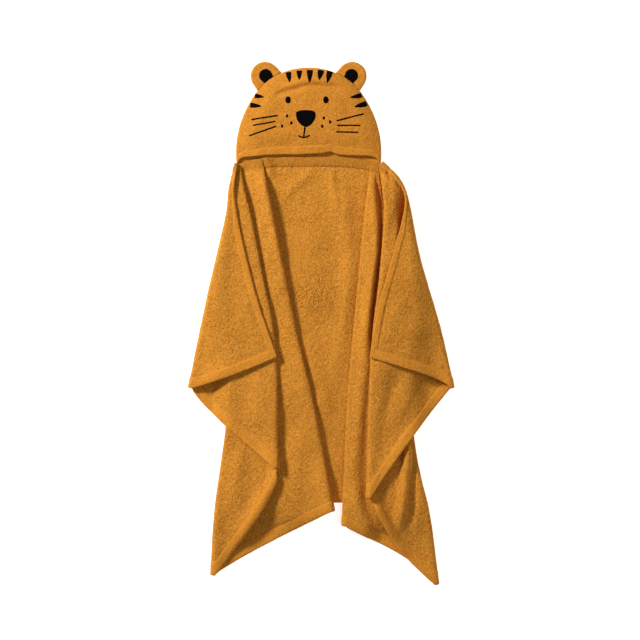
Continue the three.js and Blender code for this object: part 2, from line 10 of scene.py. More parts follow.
import bmesh
import bpy
import numpy as np
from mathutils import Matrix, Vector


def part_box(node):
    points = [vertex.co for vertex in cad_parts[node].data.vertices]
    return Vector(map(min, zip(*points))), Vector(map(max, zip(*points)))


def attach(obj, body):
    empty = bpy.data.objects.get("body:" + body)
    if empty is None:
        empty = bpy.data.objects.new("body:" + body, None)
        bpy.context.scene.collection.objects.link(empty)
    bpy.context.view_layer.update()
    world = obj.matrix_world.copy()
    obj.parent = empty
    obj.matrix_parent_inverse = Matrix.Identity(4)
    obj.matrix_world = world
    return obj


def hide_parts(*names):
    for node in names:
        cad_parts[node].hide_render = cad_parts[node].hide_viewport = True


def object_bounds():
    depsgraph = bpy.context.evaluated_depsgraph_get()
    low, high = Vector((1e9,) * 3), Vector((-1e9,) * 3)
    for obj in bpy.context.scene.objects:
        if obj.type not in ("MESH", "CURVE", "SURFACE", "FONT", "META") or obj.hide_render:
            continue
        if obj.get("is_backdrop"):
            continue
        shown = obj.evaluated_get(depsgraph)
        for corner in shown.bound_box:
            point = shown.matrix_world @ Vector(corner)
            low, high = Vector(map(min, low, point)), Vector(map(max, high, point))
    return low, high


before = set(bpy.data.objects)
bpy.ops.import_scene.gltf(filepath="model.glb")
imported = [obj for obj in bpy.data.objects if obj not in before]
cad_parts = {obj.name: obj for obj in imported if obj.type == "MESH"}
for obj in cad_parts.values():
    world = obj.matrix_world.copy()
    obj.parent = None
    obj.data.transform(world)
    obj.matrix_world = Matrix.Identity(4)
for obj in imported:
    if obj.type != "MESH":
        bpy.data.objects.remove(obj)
cad_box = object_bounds()

MM = 0.001


def table(columns, rows):
    """A list with one dict a row. columns: the names of the values in each row."""
    return [dict(zip(columns.split(), row)) for row in rows]


# The cloth's thickness, and its hems: thickness, width up to the stitches, round of the
# edge, share by which the stitches draw it in and how far to their sides they do so
CLOTH = 3.0
HEM = 4.8
HEM_STITCH = 20.0
HEM_EDGE = 2.4
STITCH_PULL = 0.45
STITCH_DENT = 1.3
SEAM_GAP = 0.3
LAYER_GAP = 0.8

# Folds and drape. NECK_SQUEEZE: the share of its thickness that each layer keeps at the
# neck. FAR: beyond any hem. PANEL_STEP: wider than any panel.
FOLD_REACH = 7.0
FOLD_SHARE = 0.3
FOLD_STEPS = 8
LOFT_SPREAD = 22.0
LOFT_START = 0.1
SIDE_HEM_SHARE = 0.65
NECK_FLAT = 60.0
NECK_SQUEEZE = {1: 0.15, 2: 0.35, 3: 0.6, 4: 0.6}
BODY_ROWS = 100
ROW_CROWDING = 1.15
MAP_CELL = 2.5
MAP_LOW = (-300, -920)
MAP_CELLS = (257, 393)
FAR = 100.0
PANEL_STEP = 1000.0
NECK_BOW = 16.0
DRAPE_REACH = 30.0
TOUCH_REACH = 7.5
SETTLE_STEPS = 14

# Hood, around its own axis
HOOD_AXIS = -4.0
HOOD_CORNER = (146.0, -16.0)
HOOD_SHOULDER = (117.0, 116.0)
HOOD_TOP = 181.5
HOOD_CREST = 182.8
HOOD_PUFF = 9.5
MOUTH_PUFF = 5.0
PUFF_REACH = 45.0
MOUTH_RISE = 5.0
HOOD_HEM = 18.0
RIM_ROUND = 4.0

# The lines along which the body is folded, from the left free edge to the right one.
# side: the way a fold points, -1 left, 1 right, 0 a free edge. loft and foot_loft: how far
# the fold lifts the layer above it, over most of its length and at the hem. points: the line
# from the neck over the chest and knee to the hem.
LINES = table("side loft foot_loft points", (
    (0, 0, 0, [(-149, -19), (-155, -66), (-149, -115), (-128, -210), (-104, -299), (-67, -405)]),
    (-1, 3, 7, [(-152, -12), (-164, -64), (-169, -115), (-191, -210), (-212, -300), (-247, -467)]),
    (1, 0, 7, [(-141, -20), (-134, -66), (-121, -119), (-98, -238), (-72, -380), (-65, -629)]),
    (-1, 3, 8, [(-150, -12), (-151, -66), (-153, -115), (-167, -500), (-194, -720), (-201, -847)]),
    (1, 6, 6, [(-98, -3), (-90, -45), (-75, -117), (-29, -350), (4, -490), (48, -716)]),
    (-1, 1, 1, [(-145, -12), (-144, -66), (-144, -120), (-145, -350), (-145, -500), (-143, -700)]),
    (1, 1, 1, [(138, -11), (142, -66), (150, -120), (170, -356), (185, -520), (199, -700)]),
    (-1, 0, 3, [(122, -9), (116, -67), (110, -117), (88, -350), (75, -502), (64, -747)]),
    (1, 2, 3, [(143, -12), (153, -66), (160, -120), (208, -565), (241, -725), (259, -866)]),
    (-1, 2, 10, [(139, -15), (145, -62), (149, -115), (141, -229), (122, -410), (113, -688)]),
    (1, 5, 8, [(146, -10), (179, -46), (197, -90), (222, -208), (264, -352), (290, -467)]),
    (0, 0, 0, [(143, -22), (173, -48), (191, -93), (166, -197), (137, -303), (119, -405)]),
))

# The stretches of cloth between neighbouring lines. layer: 0 lies on the floor, 5 on top.
# neck_bow and hem_bow: how far the upper and the lower edge bulge out of a straight line.
# hem_peak: where along the hem, as a share of its length, that bulge is greatest.
PANELS = table("name layer columns neck_bow hem_bow hem_peak", (
    ("left_wing", 5, 34, 0, -3, 0.5),
    ("left_second", 4, 28, 0, 8, 0.3),
    ("left_third", 3, 28, 0, -20, 0.25),
    ("left_strip", 2, 28, 4, -5, 0.3),
    ("left_under", 1, 6, 0, 0, 0.5),
    ("back", 0, 48, 0, 0, 0.5),
    ("right_under", 1, 6, 0, 0, 0.5),
    ("right_strip", 2, 30, 0, -13, 0.62),
    ("right_third", 3, 34, 0, -15, 0.5),
    ("right_second", 4, 28, 0, -4, 0.5),
    ("right_wing", 5, 34, 0, 8, 0.25),
))

# Distances of the mesh's rows and columns from a hemmed edge
HEM_STATIONS = (0, 0.35, 1.0, 2.0, 4.0, 8.0, 12.5, 17.0, 19.0, 20.0, 21.0, 23.0, 26.0)

# The back's place in the table, and where its pile is crushed
BACK = 5
RUMPLED = dict(x=7.0, y=-277.0, wide=40.0, tall=24.0)

# Soft creases, panel by panel. width: half of a crease's. height: below 0 for a trough.
# fade: the shares of the path's length over which the crease rises and dies away.
CREASE_COLUMNS = "width height fade path"
CREASES = dict(
    right_strip=(
        (15, 7, (0.08, 0.15), [
            (114, -22), (120, -90), (120, -190), (113, -294),
            (109, -420), (98, -520), (89, -620), (80, -735)]),
        (9, 8, (0.15, 0.3), [
            (124, -30), (129, -87), (134, -150), (132, -210), (121, -290), (114, -345), (109, -450)]),
        (5, -13, (0.1, 0.2), [
            (134, -30), (139, -63), (143, -117), (142, -188),
            (137, -229), (130, -289), (125, -330), (118, -370)]),
        (8, -5, (0.3, 0.2), [(120, -410), (115, -510), (111, -600), (112, -690), (126, -750)]),
        (10, 5, (0.3, 0.3), [(126, -470), (129, -600), (136, -700), (162, -790)]),
        (16, 12, (0.5, 0.25), [(88, -645), (96, -705), (108, -737), (134, -776)]),
    ),
    right_third=(
        (11, 6, (0.15, 0.3), [(128, -694), (150, -740), (184, -788), (214, -818)]),
        (10, 15, (0.2, 0.35), [(200, -570), (193, -640), (187, -700), (176, -770)]),
        (5.5, -12, (0.1, 0.3), [(210, -560), (208, -636), (205, -705), (200, -745)]),
        (8, 3, (0.2, 0.3), [(219, -600), (220, -680), (216, -770)]),
    ),
    right_second=(
        (18, 3, (0.3, 0.3), [(212, -400), (190, -480), (160, -560)]),
        (14, 2.5, (0.2, 0.3), [(150, -400), (140, -490), (130, -600)]),
        (15, 13, (0.3, 0.6), [(152, -16), (183, -52), (199, -92), (214, -160), (232, -230)]),
    ),
    right_wing=(
        (14, 2.2, (0.1, 0.4), [(148, -395), (160, -340), (196, -270)]),
        (14, 2.2, (0.1, 0.4), [(200, -410), (212, -350), (222, -300)]),
        (12, -1.5, (0.2, 0.4), [(252, -430), (240, -390), (232, -350)]),
        (26, 4, (0.01, 0.5), [(282, -462), (220, -440), (160, -415)]),
        (26, 4, (0.3, 0.3), [(206, -190), (226, -270), (244, -350), (256, -400)]),
    ),
    left_second=(
        (20, -3, (0.2, 0.3), [(-226, -470), (-180, -520), (-130, -580)]),
        (26, -4, (0.05, 0.6), [(-228, -470), (-190, -480), (-150, -500)]),
        (18, 4, (0.3, 0.3), [(-100, -430), (-105, -500), (-95, -560)]),
    ),
    left_third=(
        (20, -4, (0.2, 0.3), [(-180, -560), (-184, -640), (-190, -740)]),
        (20, 6, (0.3, 0.4), [(-150, -590), (-148, -660), (-158, -740)]),
        (14, -9, (0.3, 0.4), [(-118, -570), (-106, -613), (-94, -653), (-96, -690)]),
        (17, 11, (0.25, 0.35), [(-68, -610), (-80, -660), (-120, -735), (-178, -820)]),
    ),
    left_wing=(
        (20, 3, (0.3, 0.4), [(-172, -150), (-180, -240), (-196, -330)]),
        (14, -2.5, (0.3, 0.4), [(-120, -400), (-150, -350), (-165, -300)]),
        (12, 2.5, (0.3, 0.4), [(-90, -395), (-118, -330), (-135, -270)]),
        (24, 5, (0.35, 0.6), [(-236, -458), (-190, -444), (-110, -414)]),
    ),
    left_strip=(
        (22, -4, (0.3, 0.3), [(-80, -700), (-120, -760), (-170, -810)]),
        (12, 2, (0.3, 0.3), [(-112, -60), (-96, -160), (-78, -260), (-60, -350)]),
        (10, 7, (0.12, 0.5), [(-96, -34), (-83, -100), (-65, -180), (-43, -270)]),
        (12, 8, (0.7, 0.01), [(14, -600), (34, -680), (44, -730)]),
        (16, 4, (0.3, 0.4), [(-20, -540), (-25, -620), (-30, -690)]),
        (4, -1.6, (0.3, 0.3), [(-70, -486), (0, -490)]),
    ),
    back=(
        (9, 6, (0.01, 0.55), [(-90, -4), (-85, -22), (-76, -50)]),
        (9, 3.5, (0.3, 0.4), [(14, -22), (-34, -58), (-68, -96)]),
        (7, 3.5, (0.15, 0.5), [(40, -20), (50, -88), (54, -150)]),
        (14, 5, (0.2, 0.3), [(66, -30), (72, -123), (78, -225), (70, -314), (58, -400), (48, -490)]),
        (24, 3, (0.4, 0.4), [(-10, -130), (10, -200), (16, -270)]),
        (18, 3, (0.3, 0.4), [(-30, -290), (10, -300), (60, -296)]),
        (12, 3, (0.3, 0.3), [(10, -480), (30, -496), (44, -520)]),
        (22, 4, (0.3, 0.3), [(0, -340), (12, -430), (30, -560)]),
    ),
)


# Small helpers

NOISE_CELLS = 64


def smooth(x):
    x = np.clip(x, 0, 1)
    return x * x * (3 - 2 * x)


def lerp(a, b, f):
    return a + (b - a) * f


def bow(u, peak):
    return np.sin(np.pi * u ** (math.log(0.5) / math.log(peak)))


def value_noise(x, y, size, seed):
    """Smooth random numbers from -1 to 1 that change over about size."""
    cells = np.random.default_rng(seed).uniform(-1, 1, (NOISE_CELLS, NOISE_CELLS))
    i, j = np.floor(x / size).astype(int), np.floor(y / size).astype(int)
    fx, fy = smooth(x / size - i), smooth(y / size - j)

    def at(a, b):
        return cells[(i + a) % NOISE_CELLS, (j + b) % NOISE_CELLS]

    return lerp(lerp(at(0, 0), at(1, 0), fx), lerp(at(0, 1), at(1, 1), fx), fy)


def unit(vectors):
    return vectors / np.maximum(np.linalg.norm(vectors, axis=-1, keepdims=True), 1e-9)


def lengths_along(line):
    """The distance of each point of a line from its start."""
    steps = np.linalg.norm(np.diff(line, axis=0), axis=1)
    return np.concatenate([[0], np.cumsum(steps)])


def read_along(points, lengths, stations):
    """The places on a line of points at the given distances from its start."""
    return np.stack([np.interp(stations, lengths, values) for values in points.T], -1)


# Meshes


def wall_faces(rows, columns):
    """Faces of a closed wall between two grids. Seen from the first grid's side, columns
    run to the right and rows run down."""
    front, back = np.arange(2 * rows * columns).reshape(2, rows, columns)

    def quads(*corners):
        return np.stack(corners, -1).reshape(-1, 4)

    return np.concatenate([
        quads(front[:-1, :-1], front[1:, :-1], front[1:, 1:], front[:-1, 1:]),
        quads(back[:-1, :-1], back[:-1, 1:], back[1:, 1:], back[1:, :-1]),
        quads(front[:-1, 0], back[:-1, 0], back[1:, 0], front[1:, 0]),
        quads(front[:-1, -1], front[1:, -1], back[1:, -1], back[:-1, -1]),
        quads(front[0, :-1], front[0, 1:], back[0, 1:], back[0, :-1]),
        quads(front[-1, :-1], back[-1, :-1], back[-1, 1:], front[-1, 1:]),
    ])


def add_object(name, data):
    made = bpy.data.objects.new(name, data)
    bpy.context.scene.collection.objects.link(made)
    return made


def smooth_object(name, points, faces, material):
    """A shaded-smooth mesh object. Its points are in millimetres around the neck."""
    places = (points.reshape(-1, 3) + [*neck_centre, 0]) * MM
    mesh = bpy.data.meshes.new(name)
    mesh.from_pydata(places.tolist(), [], faces.tolist())
    mesh.polygons.foreach_set("use_smooth", np.ones(len(mesh.polygons), bool))
    mesh.materials.append(material)
    return add_object(name, mesh)


def weld(piece):
    """Joins points that lie on each other, as at the middle of a disc."""
    made = bmesh.new()
    made.from_mesh(piece.data)
    bmesh.ops.remove_doubles(made, verts=made.verts, dist=1e-6)
    made.to_mesh(piece.data)
    made.free()
    return piece


def wall_object(name, front, back, material):
    points = np.concatenate([front.reshape(-1, 3), back.reshape(-1, 3)])
    return smooth_object(name, points, wall_faces(*front.shape[:2]), material)


def stand_for(piece, node):
    """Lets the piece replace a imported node."""
    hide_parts(node)
    return piece


def set_mask(piece, name, values):
    """Stores a number for each point of a wall, the same on both faces, for its material."""
    mask = piece.data.attributes.new(name, "FLOAT", "POINT")
    mask.data.foreach_set("value", np.tile(values.ravel(), 2).astype(np.float32))


def in_hem(distance):
    """1 up to the hem's stitches, 0 beyond, from the distance to the cloth's edge."""
    return smooth((HEM_STITCH + 1 - distance) / 2)


# Heights of what already lies on the floor


class HeightMap:
    def __init__(self, cells):
        self.cells = cells

    def raise_to(self, x, y, height):
        i = np.rint((x - MAP_LOW[0]) / MAP_CELL).astype(int)
        j = np.rint((y - MAP_LOW[1]) / MAP_CELL).astype(int)
        np.maximum.at(self.cells, (i, j), height)

    def at(self, x, y):
        fx, fy = (x - MAP_LOW[0]) / MAP_CELL, (y - MAP_LOW[1]) / MAP_CELL
        i, j = np.floor(fx).astype(int), np.floor(fy).astype(int)
        c = self.cells
        lower = lerp(c[i, j], c[i + 1, j], fx - i)
        upper = lerp(c[i, j + 1], c[i + 1, j + 1], fx - i)
        return lerp(lower, upper, fy - j)

    def shifts(self, reach):
        """The map moved by every step of up to reach."""
        n = round(reach / MAP_CELL)
        wide, tall = self.cells.shape
        padded = np.pad(self.cells, n, mode="edge")
        for a in range(-n, n + 1):
            for b in range(-n, n + 1):
                if a * a + b * b <= n * n + 1:
                    yield padded[n + a:n + a + wide, n + b:n + b + tall]

    def spread(self, reach):
        cells = self.cells
        for shifted in self.shifts(reach):
            cells = np.maximum(cells, shifted)
        return HeightMap(cells)

    def blurred(self, reach):
        shifted = list(self.shifts(reach))
        return HeightMap(sum(shifted) / len(shifted))


# Body


def spline(points, samples=400):
    """A smooth line through the given points, and its points' distances from its start."""
    p = np.array(points, float)
    n = len(p) - 1
    t = np.linspace(0, n, samples + 1)
    i = np.minimum(t.astype(int), n - 1)
    w = (t - i)[:, None]
    p0, p1, p2, p3 = (p[np.clip(i + k, 0, n)] for k in (-1, 0, 1, 2))
    v1, v2 = (p2 - p0) / 2, (p3 - p1) / 2
    line = (2 * p1 - 2 * p2 + v1 + v2) * w**3 + (3 * p2 - 3 * p1 - 2 * v1 - v2) * w**2 + v1 * w + p1
    return line, lengths_along(line)


class FoldLine:
    def __init__(self, entry):
        self.side, self.loft, self.foot_loft = entry["side"], entry["loft"], entry["foot_loft"]
        self.line, self.lengths = spline(entry["points"])
        self.length = self.lengths[-1]
        self.along = unit(np.gradient(self.line, axis=0))

    def trace(self, stations):
        """Places and outward directions at distances down the line."""
        self.place = read_along(self.line, self.lengths, stations)
        along = unit(read_along(self.along, self.lengths, stations))
        self.out = np.stack([-along[:, 1], along[:, 0]], -1) * self.side
        self.v = stations / self.length


def hem_reach(lines, k):
    """How much further than its own width a hem reaches along a line that meets it askew."""
    feet = [line.line[-1] for line in lines]
    along = lines[k].along[-1]
    skews = []
    for other in (k - 1, k + 1):
        if 0 <= other < len(lines):
            across = unit(feet[other] - feet[k])
            skews.append(abs(along[0] * across[1] - along[1] * across[0]))
    return 1 / max(np.mean(skews), 0.6)


def row_stations(length, reach):
    """Distances of the rows down a line. They crowd at the neck and in both hems."""
    hem = np.array(HEM_STATIONS)
    low = length - hem[::-1] * reach
    inner = np.linspace(0, 1, BODY_ROWS + 2)[1:-1] ** ROW_CROWDING
    return np.concatenate([hem, lerp(hem[-1], low[0], inner), low])


def row_edges():
    """Each row's distance from the upper and from the lower edge of the cloth."""
    hem = np.array(HEM_STATIONS)
    far = np.full(BODY_ROWS + len(hem), FAR)
    return np.concatenate([hem, far]), np.concatenate([far, hem[::-1]])


def hem_wall(d):
    """The cloth's thickness at a distance from a hemmed edge: thicker in the hem, drawn in
    at its stitches and round at its edge."""
    wall = lerp(CLOTH, HEM, smooth((HEM_STITCH + 2.5 - d) / 3))
    wall = wall * (1 - STITCH_PULL * np.exp(-(((d - HEM_STITCH) / STITCH_DENT) ** 2)))
    return wall * np.sqrt(np.maximum(1 - (1 - np.minimum(d / HEM_EDGE, 1)) ** 2, 0.02))


def set_backs(lines):
    """How far the flat part of a panel stays back from each fold, row by row."""
    backs = []
    for k, line in enumerate(lines):
        if line.side == 0:
            backs.append(np.zeros(len(line.place)))
            continue
        gaps = [np.linalg.norm(line.place - lines[n].place, axis=1) for n in (k - 1, k + 1)]
        backs.append(np.minimum(FOLD_REACH, FOLD_SHARE * np.minimum(*gaps)))
    return backs


def column_shares(panel, width, hemmed):
    """Where the columns lie between a panel's two sides, and their distance from its free
    edge. width has one entry a row."""
    even = np.linspace(0, 1, panel["columns"] + 1)
    if not hemmed:
        return np.tile(even, (len(width), 1)), np.full((len(width), len(even)), FAR)
    hem = np.array(HEM_STATIONS)
    squeeze = np.minimum(SIDE_HEM_SHARE, 0.6 * width / hem[-1])[:, None]
    inner = hem * squeeze / width[:, None]
    rest = np.linspace(0, 1, panel["columns"] - len(hem) + 2)[1:]
    shares = np.concatenate([inner, lerp(inner[:, -1:], 1, rest)], axis=1)
    return shares, shares * width[:, None] / squeeze


def neck_height(x):
    """The neck seam's height over the hood's width: level in the middle, lower at its ends."""
    return 1 - NECK_BOW * (np.abs(x) / HOOD_CORNER[0]) ** 4


def panel_floor(panel, start, end, shares, v):
    """Where a panel's points lie, seen from above, with the bows of its neck and its hem."""
    along = (end - start) / np.linalg.norm(end - start, axis=1)[:, None]
    x = lerp(start[:, :1], end[:, :1], shares)
    y = lerp(start[:, 1:], end[:, 1:], shares)
    if panel["layer"] == 0:
        y = y + (neck_height(x[0] - HOOD_AXIS) - y[0]) * (1 - smooth(v / 0.5))
    else:
        y = y + panel["neck_bow"] * bow(shares, 0.5) * smooth(1 - v / 0.1)
    bulge = panel["hem_bow"] * bow(shares, panel["hem_peak"]) * smooth((v - 0.6) / 0.4)
    return x + bulge * along[:, 1:], y - bulge * along[:, :1]


def fold_loft(k, lines, shares, width, v):
    """How far a panel is lifted beside the fold that leads up to it."""
    layer = PANELS[k]["layer"]
    if layer == 0:
        return np.zeros_like(shares)
    enters_right = k < len(PANELS) - 1 and PANELS[k + 1]["layer"] < layer
    fold = lines[k + 1 if enters_right else k]
    away = (1 - shares if enters_right else shares) * width[:, None]
    loft = lerp(fold.loft, fold.foot_loft, smooth((v - 0.6) / 0.35)) * smooth(v / LOFT_START)
    return loft * np.exp(-((away / LOFT_SPREAD) ** 2))


def panel_plan(k, lines, backs):
    """The panel's points on the floor, with its wall, its loft and its flat coordinates."""
    panel = PANELS[k]
    first, last = k == 0, k == len(PANELS) - 1
    a, b = lines[k], lines[k + 1]
    start = a.place - a.out * backs[k][:, None]
    end = b.place - b.out * backs[k + 1][:, None]
    width = np.linalg.norm(end - start, axis=1)
    shares, edge = column_shares(panel, width, first or last)
    if last:
        shares, edge = 1 - shares[:, ::-1], edge[:, ::-1]
    v = lerp(a.v[:, None], b.v[:, None], shares)
    x, y = panel_floor(panel, start, end, shares, v)
    top_edge, foot_edge = (rows[:, None] for rows in row_edges())
    hem = np.minimum(foot_edge, edge)
    wall = hem_wall(np.minimum(hem, top_edge))
    if panel["layer"] in NECK_SQUEEZE:
        wall = wall * lerp(NECK_SQUEEZE[panel["layer"]], 1, smooth((v * a.length - 15) / NECK_FLAT))
    return dict(
        panel=panel, x=x, y=y, wall=wall, hem=hem, top=top_edge + 0 * x, v=v,
        loft=fold_loft(k, lines, shares, width, v),
        across=shares * width[:, None] + PANEL_STEP * k, down=v * a.length,
    )


def crease_heights(plan):
    """The heights of the panel's creases and of its slow unevenness."""
    x, y = plan["x"], plan["y"]
    creases = table(CREASE_COLUMNS, CREASES.get(plan["panel"]["name"], ()))
    total = sum((crease_profile(x, y, crease) for crease in creases), np.zeros_like(x))
    seed = plan["panel"]["layer"] + (10 if x.mean() > 0 else 20)
    slow = 1.8 * value_noise(plan["across"], plan["down"], 75, seed)
    slow += 0.9 * value_noise(plan["across"], plan["down"], 32, seed + 1)
    total += slow * smooth(plan["v"] / 0.2)
    total += gathers(plan)
    if plan["panel"]["layer"] == 0:
        return np.maximum(total + 1, 0)
    return total


def gathers(plan):
    """Small upright wrinkles under the neck seam."""
    depth = np.exp(-((plan["top"] / 30) ** 2)) * smooth(plan["top"] / 12)
    return 0.9 * value_noise(plan["across"], 0 * plan["across"], 10, 77) * depth


def crease_profile(x, y, crease):
    """The height of one crease: a smooth bank on both sides of its path."""
    path, lengths = spline(crease["path"], samples=60)
    offsets = np.stack([x, y], -1)[..., None, :] - path
    away = np.hypot(offsets[..., 0], offsets[..., 1])
    nearest = away.argmin(-1)
    share = (lengths / lengths[-1])[nearest]
    rise, fall = crease.get("fade", HOOD_FADE)
    taper = smooth((share + 0.01) / rise) * smooth((1 - share) / fall)
    return crease["height"] * taper * np.exp(-((away.min(-1) / crease["width"]) ** 2))


def neighbour_mean(z):
    padded = np.pad(z, 1, mode="edge")
    return (padded[:-2, 1:-1] + padded[2:, 1:-1] + padded[1:-1, :-2] + padded[1:-1, 2:]) / 4


def lay_down(plan, ground):
    """Sets the panel down on what lies there already: draped softly, settled, kept clear."""
    x, y = plan["x"], plan["y"]
    half = np.maximum(plan["wall"], CLOTH * NECK_SQUEEZE.get(plan["panel"]["layer"], 1)) / 2
    if plan["panel"]["layer"] == 0:
        plan["z"] = half + crease_heights(plan)
    else:
        gap = LAYER_GAP * smooth(plan["down"] / NECK_FLAT)

        def resting(height):
            return np.where(height > LAYER_GAP, height + gap, 0)

        soft = ground.spread(DRAPE_REACH).blurred(DRAPE_REACH / 2)
        bound = resting(ground.spread(TOUCH_REACH).at(x, y)) + half
        draped = lerp(bound, resting(soft.at(x, y)) + half, smooth(plan["down"] / NECK_FLAT))
        z = np.maximum(draped + plan["loft"], bound)
        for _ in range(SETTLE_STEPS):
            z = np.maximum(bound, lerp(z, neighbour_mean(z), 0.5))
        plan["z"] = np.maximum(z + crease_heights(plan), bound)
    for a in np.linspace(0, 1, 4):
        for b in np.linspace(0, 1, 4):
            middle = [between(plan[key], a, b) for key in ("x", "y", "z")]
            ground.raise_to(middle[0], middle[1], middle[2] + between(half, a, b))


def between(grid, a, b):
    """Values at the same place inside every cell of a grid."""
    return lerp(lerp(grid[:-1, :-1], grid[:-1, 1:], b), lerp(grid[1:, :-1], grid[1:, 1:], b), a)


COLUMN_KEYS = ("x", "y", "z", "wall", "hem", "top", "across", "down")


def fold_turn(before, after, line, back):
    """The half-turn of cloth at a fold, between the last points of two panels."""
    turn = []
    for n in range(1, FOLD_STEPS):
        angle = math.pi * n / FOLD_STEPS
        share = (1 - math.cos(angle)) / 2
        column = {key: lerp(before[key][:, -1], after[key][:, 0], share) for key in COLUMN_KEYS}
        for axis, key in enumerate("xy"):
            column[key] += line.out[:, axis] * back * math.sin(angle)
        turn.append(column)
    return {key: np.stack([column[key] for column in turn], 1) for key in COLUMN_KEYS}


def folded_body():
    """The whole cloth as one grid of middle points, with its wall and its masks."""
    lines = [FoldLine(entry) for entry in LINES]
    for k, line in enumerate(lines):
        line.trace(row_stations(line.length, hem_reach(lines, k)))
    backs = set_backs(lines)
    plans = [panel_plan(k, lines, backs) for k in range(len(PANELS))]
    ground = HeightMap(np.zeros(MAP_CELLS))
    for plan in sorted(plans, key=lambda plan: plan["panel"]["layer"]):
        lay_down(plan, ground)
    parts = [plans[0]]
    for k in range(1, len(PANELS)):
        parts.append(fold_turn(plans[k - 1], plans[k], lines[k], backs[k]))
        parts.append(plans[k])
    body = {key: np.concatenate([part[key] for part in parts], 1) for key in COLUMN_KEYS}
    keep_below_seam(body)
    return body


def keep_below_seam(body):
    """Moves the rows of the body's upper hem below the seam of the hood's back layer."""
    away = np.abs(body["x"][0] - HOOD_AXIS)
    clear = np.where(away > HOOD_CORNER[0] + CLOTH, 0, neck_height(away + CLOTH / 2))
    body["y"][0] = np.minimum(body["y"][0], clear)
    hem = len(HEM_STATIONS)
    inside = away < HOOD_CORNER[0] - CLOTH
    lowered = np.minimum(body["y"][:hem], clear - 0.9 * body["top"][:hem])
    body["y"][:hem] = np.where(inside, lowered, body["y"][:hem])


def body_faces(body):
    """Both faces of the folded cloth, with the slight unevenness of its pile."""
    middle = np.stack([body["x"], body["y"], body["z"]], -1)
    normal = unit(np.cross(np.gradient(middle, axis=0), np.gradient(middle, axis=1)))
    half = body["wall"][..., None] / 2
    pile = 0.28 * value_noise(body["across"], body["down"], 11, 5)
    pile += 0.22 * value_noise(body["across"], body["down"], 24, 6)
    front = middle + normal * (half + pile[..., None] * smooth(half))
    back = middle - normal * (half - pile[..., None] * smooth(half))
    for face in (front, back):
        face[..., 2] = np.maximum(face[..., 2], 0)
    return front, back


def rumple(body):
    """1 where the pile of the back is crushed, 0 elsewhere."""
    back = body["across"] // PANEL_STEP == BACK
    x, y = body["x"] - RUMPLED["x"], body["y"] - RUMPLED["y"]
    return back * np.exp(-((x / RUMPLED["wide"]) ** 2) - (y / RUMPLED["tall"]) ** 2)


def build_body(material):
    body = folded_body()
    front, back = body_faces(body)
    piece = wall_object("body_cloth", front, back, material)
    set_mask(piece, "hem", in_hem(body["hem"]))
    # band: the body's upper hem, which its material darkens as painted shade under the hood's rim
    set_mask(piece, "band", in_hem(body["top"]))
    set_mask(piece, "rumple", rumple(body))
    return stand_for(piece, "body_panel"), front, back


# Hood


def bezier(p0, p1, p2, p3, count):
    t = np.linspace(0, 1, 400)[:, None]
    p0, p1, p2, p3 = (np.array(p, float) for p in (p0, p1, p2, p3))
    curve = (1 - t)**3 * p0 + 3 * (1 - t)**2 * t * p1 + 3 * (1 - t) * t**2 * p2 + t**3 * p3
    lengths = lengths_along(curve)
    return read_along(curve, lengths, np.linspace(0, lengths[-1], count + 1))


def on_hood(x, y, z):
    """Points around the hood's own axis, as points around the neck."""
    return np.stack([x + HOOD_AXIS, y, z + 0 * x], -1)


HOOD_COLUMNS = 120
HOOD_SIDE_ROWS = 70
SIDE = bezier(HOOD_CORNER, (152, 34), (140, 78), HOOD_SHOULDER, 240)
CROWN = bezier(HOOD_SHOULDER, (95, 154), (56, HOOD_CREST), (0, HOOD_CREST), 240)
RIM_HALF = np.concatenate([SIDE[::6], CROWN[::6][1:]])
RIM = np.concatenate([RIM_HALF, (RIM_HALF[:-1] * [-1, 1])[::-1]])


def mouth_height(x):
    s = np.abs(x) / HOOD_CORNER[0]
    return MOUTH_RISE + (HOOD_CORNER[1] - MOUTH_RISE) * (0.22 * s**2 + 0.78 * s**26)


def mouth_ripple(x):
    """How the hem of the hood wanders: it rides up a little right of its middle."""
    bump = 2.2 * np.exp(-(((x - 30) / 26) ** 2)) + 4.2 * np.exp(-(((x - 44) / 9) ** 2))
    sag = -1.6 * np.exp(-(((x + 118) / 22) ** 2))
    return bump + sag + 0.4 * value_noise(x, 0 * x, 14, 31) * smooth((HOOD_CORNER[0] - np.abs(x)) / 20)


def interpolate(curve, f):
    """Places on an evenly spaced curve at shares of its length."""
    return read_along(curve, np.arange(len(curve)), f * (len(curve) - 1))


def hood_plan(u, v, low_edge):
    """Points stretched between the low edge, the two sides and the crown."""
    u, v = np.meshgrid(u, v)
    right = interpolate(SIDE, v)
    left = right * [-1, 1]
    x = lerp(-HOOD_CORNER[0], HOOD_CORNER[0], u)
    low = np.stack([x, low_edge(x)], -1)
    crown = interpolate(CROWN, 1 - np.abs(2 * u - 1))
    crown[..., 0] *= np.where(u < 0.5, -1, 1)
    fu, fv = u[..., None], v[..., None]
    shoulder = np.array(HOOD_SHOULDER)
    corners = lerp(lerp(low[:, :1], low[:, -1:], fu), lerp(shoulder * [-1, 1], shoulder, fu), fv)
    return lerp(left, right, fu) + lerp(low, crown, fv) - corners


def rim_distance(x, y):
    """Distance from the hood's seam, inside or outside."""
    a, b = RIM[:-1], RIM[1:]
    span = b - a
    p = np.stack([x, y], -1)[..., None, :]
    share = np.clip(((p - a) * span).sum(-1) / (span**2).sum(-1), 0, 1)
    return np.linalg.norm(p - a - share[..., None] * span, axis=-1).min(-1)


